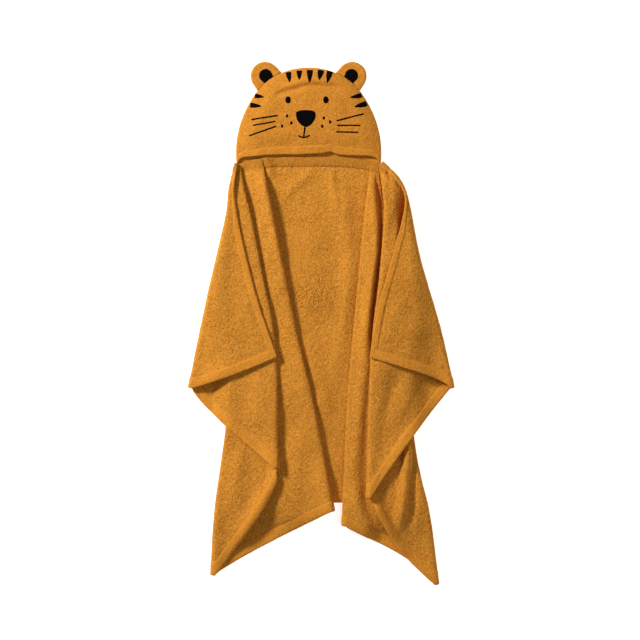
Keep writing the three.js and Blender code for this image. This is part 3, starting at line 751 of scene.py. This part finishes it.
# Soft creases in the front of the hood, around its axis, and the fade of all of them
HOOD_FADE = (0.25, 0.25)
HOOD_CREASES = table("width height path", (
    (6, -3.4, [(-72, 122), (-44, 134), (-8, 141)]),
    (5.5, -3.8, [(-30, 139), (4, 145), (40, 143), (72, 138)]),
    (7, 2.2, [(-70, 132), (0, 154), (74, 148)]),
    (6, -1.2, [(-139, 20), (-136, 45), (-128, 70)]),
    (5, -1.0, [(137, 12), (137, 36), (132, 60)]),
    (7, -1.4, [(-98, 102), (-92, 118), (-84, 134)]),
    (9, -1.4, [(70, 118), (82, 96), (88, 76)]),
    (12, -1.5, [(-110, 20), (-60, 26), (-10, 24)]),
    (12, -1.5, [(30, 28), (80, 24), (120, 30)]),
))


def hood_relief(x, y):
    slow = 0.9 * value_noise(x, y, 48, 41) + 0.5 * value_noise(x, y, 22, 42)
    return sum((crease_profile(x, y, crease) for crease in HOOD_CREASES), slow)


def hood_surfaces(x, y, wall):
    """The lower and the upper side of the hood's front layer."""
    d = rim_distance(x, y)
    inset = np.minimum(1, d / PUFF_REACH)
    rise = smooth((y - mouth_height(x)) / PUFF_REACH)
    puff = lerp(MOUTH_PUFF, HOOD_PUFF, rise) * (1 - (1 - inset) ** 2)
    low = CLOTH + SEAM_GAP + puff + hood_relief(x, y) * smooth(d / 25)
    rounding = np.sqrt(1 - (1 - np.minimum(d / RIM_ROUND, 1)) ** 2)
    rounding = lerp(np.maximum(rounding, 0.06), 0.9 + 0.1 * smooth(d / RIM_ROUND), beside_ear(x, y))
    return low, low + wall * rounding


def beside_ear(x, y):
    """1 where the hood's seam holds an ear, 0 elsewhere."""
    away = np.hypot(np.abs(x) - EAR["x"], y - EAR["y"])
    return smooth((EAR["radius"] + 2 - away) / 6)


def hood_top(x, y):
    return hood_surfaces(x, y, CLOTH)[1]


def build_hood_front(material):
    hem = np.array(HEM_STATIONS) * (HOOD_HEM / HEM_STITCH)
    start = hem[-1] / HOOD_TOP
    rows = np.concatenate([hem / HOOD_TOP, lerp(start, 1, np.linspace(0, 1, HOOD_SIDE_ROWS)[1:])])
    rows = rows[::-1]
    even = np.linspace(0, 1, HOOD_COLUMNS + 1)
    columns = lerp(even, (1 - np.cos(np.pi * even)) / 2, 0.4)
    plan = hood_plan(columns, rows, lambda x: mouth_height(x) + mouth_ripple(x))
    x, y = plan[..., 0], plan[..., 1]
    edge = (rows * HOOD_TOP)[:, None] * (HEM_STITCH / HOOD_HEM) + 0 * x
    low, high = hood_surfaces(x, y, hem_wall(edge))
    pile = 0.25 * value_noise(x, y, 11, 43) * smooth(rim_distance(x, y) / 10)
    front = on_hood(x, y, high + pile)
    back = on_hood(x, y, low)
    piece = wall_object("hood_front_cloth", front, back, material)
    set_mask(piece, "hem", in_hem(edge))
    return stand_for(piece, "hood_front"), front, back


def build_hood_back(material):
    rows = np.linspace(1, 0, 60)
    columns = np.linspace(0, 1, 91)
    plan = hood_plan(columns, rows, lambda x: neck_height(x) + SEAM_GAP)
    x, y = plan[..., 0], plan[..., 1]
    rounding = np.sqrt(1 - (1 - np.minimum(rim_distance(x, y) / RIM_ROUND, 1)) ** 2)
    low = CLOTH * (1 - np.maximum(rounding, 0.06))
    piece = wall_object("hood_back_cloth", on_hood(x, y, CLOTH), on_hood(x, y, low), material)
    return stand_for(piece, "hood_back")


# Discs and ribbons: ears, patches and thread

# How far they are sunk into the cloth, and how far their edges stand above it
PATCH_SINK = 0.1
PATCH_LIP = 0.1
RIBBON_LIP = 0.15


def ring_angles(count):
    return np.linspace(0, 2 * np.pi, count + 1)


def oval(angles, half_width, half_height):
    """An oval's radius in each direction."""
    across, up = half_height * np.cos(angles), half_width * np.sin(angles)
    return half_width * half_height / np.hypot(across, up)


def to_rim(centre, angles, gap):
    """How far the hood's seam lies from a point along each direction, less a gap."""
    a, span = RIM[:-1] - centre, np.diff(RIM, axis=0)
    ray = np.stack([np.cos(angles), np.sin(angles)], -1)[:, None, :]
    cross = ray[..., 0] * span[:, 1] - ray[..., 1] * span[:, 0]
    cross = np.where(np.abs(cross) < 1e-9, 1e-9, cross)
    along = (a[:, 0] * span[:, 1] - a[:, 1] * span[:, 0]) / cross
    share = (a[:, 0] * ray[..., 1] - a[:, 1] * ray[..., 0]) / cross
    hit = (share >= 0) & (share <= 1) & (along > 0)
    return np.where(hit, along, 1e6).min(-1) - gap


def disc_object(name, centre, radius, rings, low, high, material):
    """A closed disc around a centre. radius has one entry for each direction; low and high
    give its two sides from x, y and the share of the radius."""
    shares = np.sin(np.linspace(0, np.pi / 2, rings + 1))[:, None]
    angles = ring_angles(len(radius) - 1)
    x = centre[0] + shares * radius * np.cos(angles)
    y = centre[1] + shares * radius * np.sin(angles)
    front, back = (on_hood(x, y, side(x, y, shares)) for side in (high, low))
    return weld(wall_object(name, front, back, material))


def ribbon_object(name, path, half, rise, material):
    """A closed raised band along a path, given with its half width at each point."""
    along = unit(np.gradient(path, axis=0))
    side = np.stack([along[:, 1], -along[:, 0]], -1)
    across = np.linspace(-1, 1, 7)
    place = path[:, None] + side[:, None] * (half[:, None] * across)[..., None]
    x, y = place[..., 0], place[..., 1]
    top = hood_top(x, y)
    bulge = np.sqrt(np.maximum(1 - across**2, 0)) * (half / half.max())[:, None] ** 0.5
    front = on_hood(x, y, top + RIBBON_LIP + rise * bulge)
    return wall_object(name, front, on_hood(x, y, top - PATCH_SINK), material)


EAR = dict(x=88.5, y=165.5, radius=29.0, flare=7.0)
INNER_EAR = dict(x=87.0, y=166.0, radius=13.4, tilt=0.6, taper=0.2, reach=20.0)
EYE = dict(middle=-3.3, spread=38.3, y=115.7, half_width=5.4, half_height=7.3)
NOSE = (-5.5, 78.0)
NOSE_SIDE = ((0, -17.5), (9, -16.5), (20.5, -4), (20, 9))
NOSE_TOP = ((20, 9), (20.5, 15), (12, 17.5), (0, 17))

STRIPES = table("name width base tip", (
    ("brow_stripe_1", 11.5, (-41, 172.8), (-38, 151.5)),
    ("brow_stripe_2", 11.5, (-19, 175.8), (-18.5, 156)),
    ("brow_stripe_3", 12.5, (2.7, 177), (2, 150.5)),
    ("brow_stripe_4", 13, (25.5, 176.8), (21.5, 156)),
    ("brow_stripe_5", 12.5, (43.5, 174.8), (38, 150)),
    ("cheek_stripe_left_1", 9.5, (-109, 124.8), (-90.5, 122)),
    ("cheek_stripe_left_2", 10.5, (-118.5, 105.8), (-95, 103)),
    ("cheek_stripe_right_1", 10, (107.5, 126), (84, 120.5)),
    ("cheek_stripe_right_2", 11.5, (118, 108.8), (92, 101.5)),
))

LINE_HALF = 1.6
MOUTH_LINE = dict(start=(-7.1, 61.5), end=(-9.7, 40.3))
SMILE = dict(left=-21.0, right=2.5, middle=-9.5, half=11.6, low=39.6, rise=4.6)
WHISKERS = table("start end", (
    ((-116, 76), (-62, 84)),
    ((-113, 64), (-67, 72)),
    ((-121, 43), (-65, 62.5)),
    ((56, 73), (112, 88)),
    ((58, 64), (105, 64)),
    ((56, 51), (101, 50)),
))

FRECKLE_HALF = (2.4, 3.5)
FRECKLES = ((-43.5, 83), (-35, 69), (-53.5, 62.5), (31, 79), (43.5, 71), (27.5, 62.5))


def build_ear(sign, name, low, material):
    centre = np.array([sign * EAR["x"], EAR["y"]])
    angles = ring_angles(180)
    reach = to_rim(centre, angles, SEAM_GAP)
    ring = centre[:, None] + EAR["radius"] * np.array([np.cos(angles), np.sin(angles)])
    flare = EAR["flare"] * np.exp(-rim_distance(*ring) / (0.8 * EAR["flare"]))
    radius = np.minimum(EAR["radius"] + flare, reach)

    def rounded(shares):
        return np.sqrt(np.maximum(1 - np.clip((shares - 0.86) / 0.14, 0, 1) ** 2, 0.01))

    def high(x, y, shares):
        return low + (CLOTH * rounded(shares) if low > 0 else CLOTH)

    def under(x, y, shares):
        return low if low > 0 else CLOTH * (1 - rounded(shares))

    piece = disc_object(f"{name}_cloth", centre, radius, 14, under, high, material)
    return stand_for(piece, name)


def patch_sides(seat, rise, sink=PATCH_SINK, lip=PATCH_LIP):
    """Lower and upper sides of a raised patch that is round at its edge. lip: how far that
    edge stands above the seat."""
    def low(x, y, shares):
        return seat(x, y) - sink

    def high(x, y, shares):
        return seat(x, y) + lip + rise * np.sqrt(np.maximum(1 - shares**6, 0))

    return low, high


def build_inner_ear(sign, name, material):
    centre = np.array([sign * INNER_EAR["x"], INNER_EAR["y"]])
    directions = ring_angles(120)
    turned = (directions if sign > 0 else np.pi - directions) + INNER_EAR["tilt"]
    across, rise = np.abs(np.cos(turned)), np.sin(turned)
    sides = INNER_EAR["radius"] / (across + INNER_EAR["taper"] * np.abs(rise))
    radius = np.where(rise < 0, np.minimum(sides, INNER_EAR["reach"]), INNER_EAR["radius"])
    radius = np.minimum(radius, to_rim(centre, directions, SEAM_GAP))
    low, high = patch_sides(lambda x, y: 2 * CLOTH + SEAM_GAP, 0.9, sink=-0.05, lip=0.3)
    piece = disc_object(f"{name}_patch", centre, radius, 8, low, high, material)
    return stand_for(piece, name)


def build_eye(sign, name, material):
    radius = oval(ring_angles(48), EYE["half_width"], EYE["half_height"])
    low, high = patch_sides(hood_top, 1.2)
    centre = (EYE["middle"] + sign * EYE["spread"], EYE["y"])
    piece = disc_object(f"{name}_thread", centre, radius, 8, low, high, material)
    return stand_for(piece, name)


def build_nose(material):
    half = np.concatenate([bezier(*NOSE_SIDE, 40), bezier(*NOSE_TOP, 30)[1:]])
    outline = np.concatenate([half, (half[1:-1] * [-1, 1])[::-1]])
    heading = np.arctan2(outline[:, 1], outline[:, 0])
    order = np.argsort(heading)
    angles = ring_angles(96)
    radius = np.interp(
        (angles + np.pi) % (2 * np.pi) - np.pi,
        heading[order], np.hypot(*outline.T)[order], period=2 * np.pi,
    )
    low, high = patch_sides(hood_top, 1.5)
    piece = disc_object("nose_thread", NOSE, radius, 12, low, high, material)
    return stand_for(piece, "nose")


def build_stripe(stripe, material):
    f = np.linspace(0, 1, 24)
    base, tip = np.array(stripe["base"], float), np.array(stripe["tip"], float)
    half = stripe["width"] / 2 * np.minimum(1, 0.85 + 2 * f) * (1 - f**2) ** 0.8
    path = lerp(base, tip, f[:, None])
    piece = ribbon_object(f"{stripe['name']}_thread", path, np.maximum(half, 0.15), 1.1, material)
    return stand_for(piece, stripe["name"])


def build_thread_lines(material):
    """Whiskers, freckles and mouth."""
    pieces = []
    f = np.linspace(0, 1, 40)
    round_ends = LINE_HALF * np.sqrt(np.clip(np.minimum(f, 1 - f) * 40, 0.02, 1))

    def straight(name, line):
        path = lerp(np.array(line["start"], float), np.array(line["end"], float), f[:, None])
        pieces.append(ribbon_object(f"{name}_thread", path, round_ends, 0.8, material))

    for n, whisker in enumerate(WHISKERS, 1):
        straight(f"whisker_{n}", whisker)
    low, high = patch_sides(hood_top, 0.8)
    radius = oval(ring_angles(24), *FRECKLE_HALF)
    for n, place in enumerate(FRECKLES, 1):
        pieces.append(disc_object(f"freckle_{n}_thread", place, radius, 5, low, high, material))
    straight("mouth_line", MOUTH_LINE)
    x = lerp(SMILE["left"], SMILE["right"], f)
    y = SMILE["low"] + SMILE["rise"] * ((x - SMILE["middle"]) / SMILE["half"]) ** 2
    smile = np.stack([x, y], -1)
    pieces.append(ribbon_object("smile_thread", smile, round_ends, 0.8, material))
    return pieces


# Stitches in the hems

STITCH_PITCH = 3.6
STITCH_LENGTH = 2.6
STITCH_HALF = 0.45
STITCH_RISE = 0.4


def stitch_run(line, inside):
    """Stitches along a line on the cloth. inside is the same line on the wall's other face.
    Each stitch has a tip, two rings of four points and a tip."""
    lengths = lengths_along(line)
    middles = (np.arange(int(lengths[-1] // STITCH_PITCH)) + 0.5) * STITCH_PITCH
    start = read_along(line, lengths, middles - STITCH_LENGTH / 2)
    end = read_along(line, lengths, middles + STITCH_LENGTH / 2)
    up = unit(read_along(line, lengths, middles) - read_along(inside, lengths, middles))
    side = unit(np.cross(up, end - start)) * STITCH_HALF
    rise = up * STITCH_RISE
    rings = []
    for share in (0.25, 0.75):
        middle = lerp(start, end, share)
        rings += [middle - side, middle + rise, middle + side, middle - rise]
    return np.stack([start, *rings, end], 1)


def stitch_faces(count):
    faces = []
    for i in range(4):
        a, b = 1 + i, 1 + (i + 1) % 4
        faces += [(0, a, b), (a, a + 4, b + 4), (a, b + 4, b), (9, b + 4, a + 4)]
    return (np.array(faces) + 10 * np.arange(count)[:, None, None]).reshape(-1, 3)


def build_stitches(name, runs, material):
    stitches = np.concatenate([stitch_run(line, inside) for line, inside in runs])
    stitches[..., 2] = np.maximum(stitches[..., 2], 0)
    return smooth_object(name, stitches, stitch_faces(len(stitches)), material)


def body_hem_runs(front, back):
    """The stitched lines of the body's four hems, on both faces of the cloth."""
    n = HEM_STATIONS.index(HEM_STITCH)
    runs = []
    for face, other in ((front, back), (back, front)):
        for row in (n, -1 - n):
            runs.append((face[row, n:-n], other[row, n:-n]))
        for column in (n, -1 - n):
            runs.append((face[n:-n, column], other[n:-n, column]))
    return runs


# Materials


class Nodes:
    """Adds nodes to a material. Inputs are numbers, colours or other nodes' outputs."""

    def __init__(self, name):
        self.material = bpy.data.materials.new(name)
        self.material.use_nodes = True
        self.tree = self.material.node_tree
        self.shader = self.tree.nodes["Principled BSDF"]

    def set(self, node, inputs):
        for key, value in inputs.items():
            if isinstance(value, bpy.types.NodeSocket):
                self.tree.links.new(value, node.inputs[key])
            else:
                node.inputs[key].default_value = value

    def add(self, kind, inputs=None, **settings):
        node = self.tree.nodes.new("ShaderNode" + kind)
        for key, value in settings.items():
            setattr(node, key, value)
        self.set(node, inputs or {})
        return node

    def place(self):
        return self.add("TexCoord").outputs["Object"]

    def mask(self, name):
        return self.add("Attribute", attribute_name=name).outputs["Fac"]

    def noise(self, vector, scale, detail=2.0, roughness=0.5):
        inputs = {"Vector": vector, "Scale": scale, "Detail": detail, "Roughness": roughness}
        return self.add("TexNoise", inputs).outputs["Fac"]

    def cells(self, vector, scale):
        inputs = {"Vector": vector, "Scale": scale, "Smoothness": 0.6}
        node = self.add("TexVoronoi", inputs, feature="SMOOTH_F1")
        return node.outputs["Distance"]

    def span(self, value, low, high, to_low=0.0, to_high=1.0):
        inputs = {"Value": value, "From Min": low, "From Max": high, "To Min": to_low, "To Max": to_high}
        return self.add("MapRange", inputs).outputs["Result"]

    def math(self, operation, a, b):
        return self.add("Math", {0: a, 1: b}, operation=operation).outputs[0]

    def mix(self, factor, a, b):
        node = self.add("Mix", data_type="RGBA")
        self.set(node, {0: factor, 6: a, 7: b})
        return node.outputs[2]

    def bump(self, height, distance, strength, normal=None):
        inputs = {"Height": height, "Distance": distance, "Strength": strength}
        if normal is not None:
            inputs["Normal"] = normal
        return self.add("Bump", inputs).outputs["Normal"]

    def finish(self, **inputs):
        self.set(self.shader, {key.replace("_", " "): value for key, value in inputs.items()})
        return self.material


def colour(r, g, b):
    """A screen colour, 0 to 255, as the shader's linear colour."""
    scaled = np.clip([r, g, b], 0, 255) / 255
    linear = np.where(scaled <= 0.04045, scaled / 12.92, ((scaled + 0.055) / 1.055) ** 2.4)
    return (*linear.tolist(), 1.0)


def shade_of(base, share):
    return colour(*(share * np.array(base)))


# Painted shade in the gaps between loops and painted light on their tips: how much darker and lighter
# than the cloth
PAINTED_GAP_SHADE = (42, 40, 30)
PAINTED_TIP_LIGHT = (34, 34, 22)


def terry(name, base, hem_share=0.4, nap=1.0):
    """Looped towelling: painted shade in the gaps and painted light on the tips of loops, flecked and in
    clumps at random, patches of flattened nap, hems that are a little smoother and lighter, and painted
    shade on the body's upper hem under the hood's rim. nap: how rough it is, and how strong the painted
    shade and light of the loops."""
    nodes = Nodes(name)
    gap_shade = colour(*(np.array(base) - nap * np.array(PAINTED_GAP_SHADE)))
    light = colour(*(np.array(base) + nap * np.array(PAINTED_TIP_LIGHT)))
    place = nodes.place()
    loops = nodes.cells(place, 430)
    grain = nodes.noise(place, 400, 1.0, 0.6)
    clumps = nodes.noise(place, 170, 2.0, 0.6)
    patches = nodes.noise(place, 22, 4.0, 0.6)
    hem = nodes.mask("hem")
    # Flecks and clumps, at random, between the painted gap shade and the painted tip light
    fleck = nodes.mix(nodes.span(grain, 0.3, 0.7), gap_shade, light)
    clumped = nodes.mix(nodes.span(clumps, 0.3, 0.7), gap_shade, light)
    shade = nodes.mix(0.35, fleck, clumped)
    worn = nodes.mix(nodes.span(patches, 0.3, 0.7), shade_of(base, 0.9), shade_of(base, 1.08))
    shade = nodes.mix(0.25, shade, worn)
    shade = nodes.mix(nodes.math("MULTIPLY", hem, hem_share), shade, shade_of(base, 1.08))
    # Painted shade under the hood's rim: the body's upper hem, under the neck seam, is darkened
    shade = nodes.mix(nodes.math("MULTIPLY", nodes.mask("band"), 0.6), shade, shade_of(base, 0.85))
    crushed = nodes.math("MULTIPLY", nodes.mask("rumple"), 3.0)
    relief = nodes.math("ADD", nodes.span(hem, 0, 1, 1.0, 0.7), crushed)
    tufts = nodes.math("ADD", clumps, nodes.math("MULTIPLY", grain, 0.5))
    tufts = nodes.math("MULTIPLY", tufts, relief)
    normal = nodes.bump(loops, 0.0008, 0.6)
    normal = nodes.bump(tufts, 0.0026 * nap, 0.7, normal)
    return nodes.finish(
        Base_Color=shade, Roughness=1.0, Normal=normal,
        Sheen_Weight=0.08, Sheen_Roughness=0.6, Sheen_Tint=shade_of(base, 1.1), Specular_IOR_Level=0.06,
    )


def thread(name):
    """Black satin stitch with a slight gleam along the thread."""
    nodes = Nodes(name)
    place = nodes.place()
    strands = nodes.add("TexWave", {"Vector": place, "Scale": 500, "Distortion": 1.5})
    normal = nodes.bump(strands.outputs["Fac"], 0.0003, 0.5)
    tint = nodes.mix(nodes.noise(place, 300), colour(5, 3, 3), colour(12, 8, 8))
    return nodes.finish(Base_Color=tint, Roughness=0.75, Normal=normal, Specular_IOR_Level=0.03)


def fibres(name, shades, grain, relief, roughness, gleam):
    """Short fibres between two shades. grain: scale and detail. relief: height and strength."""
    nodes = Nodes(name)
    pattern = nodes.noise(nodes.place(), *grain)
    tint = nodes.mix(nodes.span(pattern, 0.3, 0.7), *shades)
    normal = nodes.bump(pattern, *relief)
    return nodes.finish(Base_Color=tint, Roughness=roughness, Normal=normal, Specular_IOR_Level=gleam)


# Stage

FLOOR_REACH = 6.0
FLOOR_DROP = 0.0004
FLOOR_GLOW = 0.75


def build_stage():
    mesh = bpy.data.meshes.new("floor")
    r = FLOOR_REACH
    corners = [(x, y, -FLOOR_DROP) for x, y in ((-r, -r), (r, -r), (r, r), (-r, r))]
    mesh.from_pydata(corners, [], [(0, 1, 2, 3)])
    nodes = Nodes("floor_white")
    white = (0.95, 0.95, 0.95, 1.0)
    mesh.materials.append(nodes.finish(
        Base_Color=white, Roughness=1.0, Specular_IOR_Level=0.0,
        Emission_Color=white, Emission_Strength=FLOOR_GLOW,
    ))
    add_object("floor", mesh)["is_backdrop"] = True


LAMPS = table("name place size power", (
    ("key", (-2.3, 1.75, 2.0), 0.62, 141),
    ("fill", (1.4, -0.3, 2.8), 2.0, 22),
))
SKY_STRENGTH = 0.13


def build_lights():
    """Two square lamps that face the cape's middle, and a dim sky."""
    world = bpy.data.worlds.new("studio")
    world.use_nodes = True
    sky = world.node_tree.nodes["Background"].inputs
    sky["Color"].default_value = (1, 1, 1, 1)
    sky["Strength"].default_value = SKY_STRENGTH
    bpy.context.scene.world = world
    for entry in LAMPS:
        lamp = bpy.data.lights.new(entry["name"], "AREA")
        lamp.size = entry["size"]
        lamp.energy = entry["power"]
        light = add_object(entry["name"], lamp)
        light.location = entry["place"]
        light.rotation_euler = light.location.to_track_quat("Z", "Y").to_euler()
    bpy.context.scene.view_settings.view_transform = "Standard"


CAMERA_HEIGHT = 4.0
FIELD = 1.295
SENSOR = 36.0
CAMERA_OFFSET = (19.2, -329.7)


def build_camera():
    """Straight above the cape. The offset is from the neck to the middle of the view."""
    camera = bpy.data.cameras.new("camera")
    camera.sensor_width = SENSOR
    camera.lens = SENSOR * (CAMERA_HEIGHT - 0.015) / FIELD
    viewer = add_object("camera", camera)
    x, y = (neck_centre + np.array(CAMERA_OFFSET)) * MM
    viewer.location = (x, y, CAMERA_HEIGHT)
    bpy.context.scene.camera = viewer


hood_low, hood_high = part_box("hood_back")
neck_centre = np.array([
    (hood_low.x + hood_high.x) / 2 / MM - HOOD_AXIS,
    hood_high.y / MM - HOOD_TOP,
])

build_camera()
build_stage()
build_lights()

OCHRE = (203, 130, 43)
body_terry = terry("body_terry", OCHRE, nap=1.1)
hood_terry = terry("hood_terry", OCHRE, hem_share=0.1, nap=0.72)
ear_terry = terry("ear_terry", (205, 132, 44), nap=0.65)
black_thread = thread("black_thread")
black_felt = fibres(
    "black_felt", (colour(6, 4, 4), colour(14, 10, 10)),
    grain=(600, 3.0), relief=(0.0006, 0.5), roughness=1.0, gleam=0.04,
)

body_piece, body_front, body_back = build_body(body_terry)
hood_front_piece, hood_face, hood_lining = build_hood_front(hood_terry)
hood_back_piece = build_hood_back(hood_terry)
ear_pieces = []
trims = []
for side, sign in (("left", -1), ("right", 1)):
    ear_pieces.append(build_ear(sign, f"ear_{side}_back", 0.0, ear_terry))
    ear_pieces.append(build_ear(sign, f"ear_{side}_front", CLOTH + SEAM_GAP, ear_terry))
    trims.append(build_inner_ear(sign, f"inner_ear_{side}", black_felt))
    trims.append(build_eye(sign, f"eye_{side}", black_thread))
trims.append(build_nose(black_thread))
trims += [build_stripe(stripe, black_thread) for stripe in STRIPES]
trims += build_thread_lines(black_thread)

stitch_thread = fibres(
    "stitch_thread", (shade_of(OCHRE, 0.9), shade_of(OCHRE, 1.15)),
    grain=(900, 2.0), relief=(0.0002, 0.4), roughness=0.7, gleam=0.15,
)
stitch_row = -1 - HEM_STATIONS.index(HEM_STITCH)
trims.append(build_stitches("body_stitches", body_hem_runs(body_front, body_back), stitch_thread))
hood_hem_runs = [(hood_face[stitch_row], hood_lining[stitch_row])]
trims.append(build_stitches("hood_stitches", hood_hem_runs, stitch_thread))

for piece in [body_piece, hood_front_piece, hood_back_piece, *ear_pieces, *trims]:
    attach(piece, "root")

boxes = [[list(corner) for corner in box] for box in (cad_box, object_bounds())]
